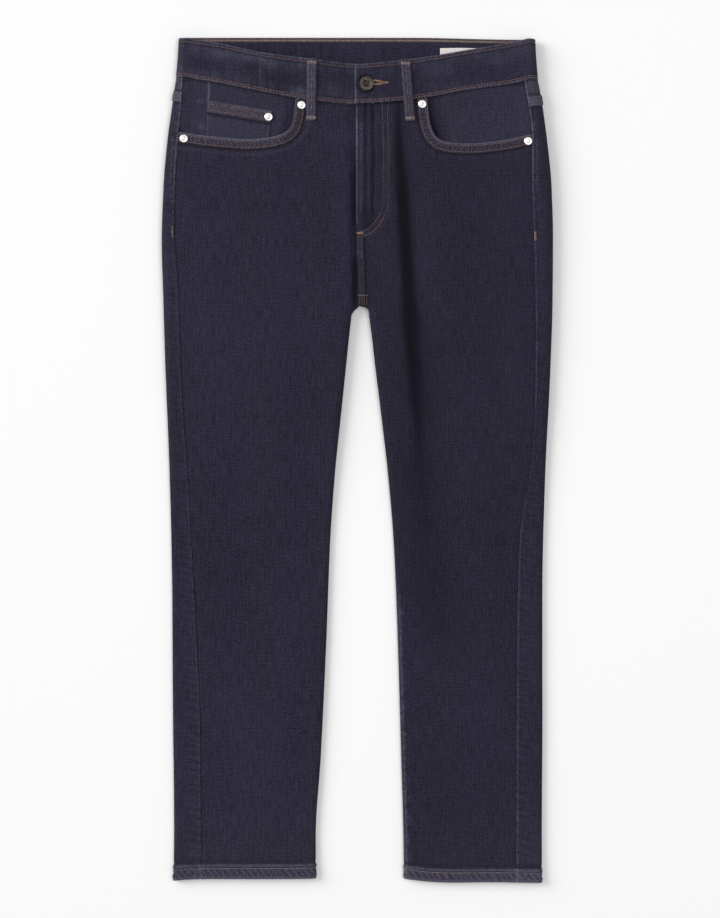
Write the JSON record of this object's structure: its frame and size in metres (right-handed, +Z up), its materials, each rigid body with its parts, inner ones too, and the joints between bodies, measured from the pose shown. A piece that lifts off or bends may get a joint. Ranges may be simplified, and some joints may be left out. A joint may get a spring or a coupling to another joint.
{
  "type": "slim fit jeans, laid flat",
  "caption": "Slim fit dark denim jeans laid flat face up, with scooped front pockets, a coin pocket, a zip fly, a shank button, belt loops, rivets and turned hems.",
  "frame": {"origin": "on the surface the jeans lie on, under the middle of their outline", "axes": "+X to the wearer's left, +Y from the hems towards the waist, +Z up off the surface"},
  "size_m": [0.4668, 1.0054, 0.0188],
  "materials": {
    "denim": "matte",
    "topstitch": "satin",
    "rivet_metal": "satin",
    "button_metal": "satin",
    "zip_cloth": "matte",
    "zip_metal": "satin",
    "label_cloth": "satin"
  },
  "bodies": {
    "root": {"front_right": "denim", "front_left": "denim", "back_right": "denim", "back_left": "denim", "yoke_right": "denim", "yoke_left": "denim", "waistband": "denim", "pocket_facing_right": "denim", "pocket_facing_left": "denim", "coin_pocket": "denim", "back_pocket_right": "denim", "back_pocket_left": "denim", "belt_loop_front_right": "denim", "belt_loop_front_left": "denim", "belt_loop_side_right": "denim", "belt_loop_side_left": "denim", "belt_loop_back": "denim", "rivet_mouth_right": "rivet_metal", "rivet_side_right": "rivet_metal", "rivet_coin": "rivet_metal", "rivet_mouth_left": "rivet_metal", "rivet_side_left": "rivet_metal", "button": "button_metal", "zip_tape": "zip_cloth", "zip_slider": "zip_metal", "waist_label": "label_cloth"}
  },
  "joints": []
}
